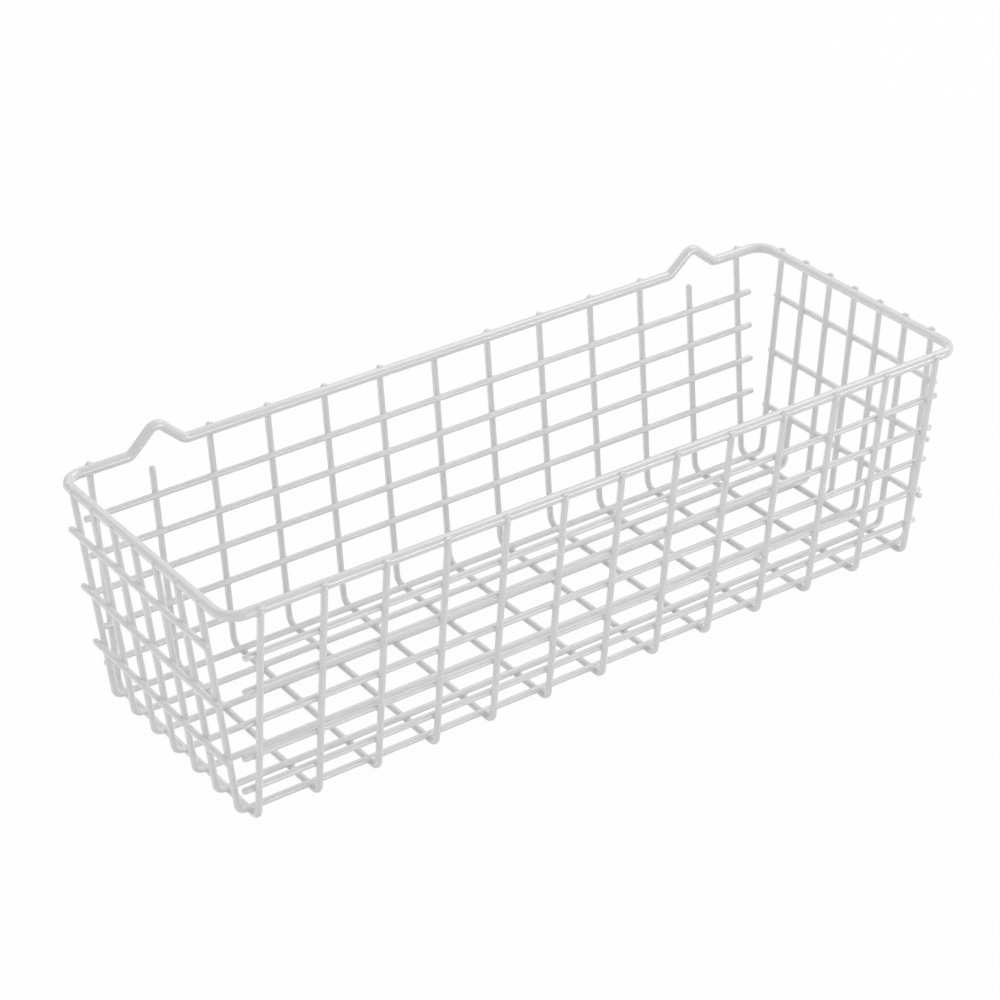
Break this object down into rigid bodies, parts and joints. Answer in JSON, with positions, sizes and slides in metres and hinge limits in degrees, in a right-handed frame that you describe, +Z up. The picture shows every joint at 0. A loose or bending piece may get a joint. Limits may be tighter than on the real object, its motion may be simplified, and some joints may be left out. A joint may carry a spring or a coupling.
{
  "type": "wire basket",
  "caption": "Open-topped storage basket of welded coated wire, with sloping walls, a thicker rim and humps on the back rim that take hooks.",
  "frame": {"origin": "on the surface the basket stands on, under the middle of its outline; the floor's middle wire lies 2.3 mm behind it, because the front leans out more than the back", "axes": "+X along the basket to its right end, +Z up, the rim's humps at the back on the +Y side"},
  "size_m": [0.405, 0.1514, 0.1275],
  "materials": {
    "cross_wire_coat": "smooth white plastic coating on steel wire, satin to glossy",
    "long_wire_coat": "smooth white plastic coating on steel wire, satin to glossy",
    "wall_wire_coat": "smooth white plastic coating on steel wire, satin to glossy",
    "rim_wire_coat": "smooth white plastic coating on thick steel wire, satin to glossy"
  },
  "bodies": {
    "root": {"cross_wire_01": "cross_wire_coat", "cross_wire_02": "cross_wire_coat", "cross_wire_03": "cross_wire_coat", "cross_wire_04": "cross_wire_coat", "cross_wire_05": "cross_wire_coat", "cross_wire_06": "cross_wire_coat", "cross_wire_07": "cross_wire_coat", "cross_wire_08": "cross_wire_coat", "cross_wire_09": "cross_wire_coat", "cross_wire_10": "cross_wire_coat", "cross_wire_11": "cross_wire_coat", "cross_wire_12": "cross_wire_coat", "cross_wire_13": "cross_wire_coat", "long_wire_1": "long_wire_coat", "long_wire_2": "long_wire_coat", "long_wire_3": "long_wire_coat", "long_wire_4": "long_wire_coat", "long_wire_5": "long_wire_coat", "long_wire_6": "long_wire_coat", "long_wire_7": "long_wire_coat", "front_wall_wire_1": "wall_wire_coat", "front_wall_wire_2": "wall_wire_coat", "front_wall_wire_3": "wall_wire_coat", "front_wall_wire_4": "wall_wire_coat", "front_wall_wire_5": "wall_wire_coat", "back_wall_wire_1": "wall_wire_coat", "back_wall_wire_2": "wall_wire_coat", "back_wall_wire_3": "wall_wire_coat", "back_wall_wire_4": "wall_wire_coat", "back_wall_wire_5": "wall_wire_coat", "left_wall_wire_1": "wall_wire_coat", "left_wall_wire_2": "wall_wire_coat", "left_wall_wire_3": "wall_wire_coat", "right_wall_wire_1": "wall_wire_coat", "right_wall_wire_2": "wall_wire_coat", "right_wall_wire_3": "wall_wire_coat", "rim_wire": "rim_wire_coat"}
  },
  "joints": []
}
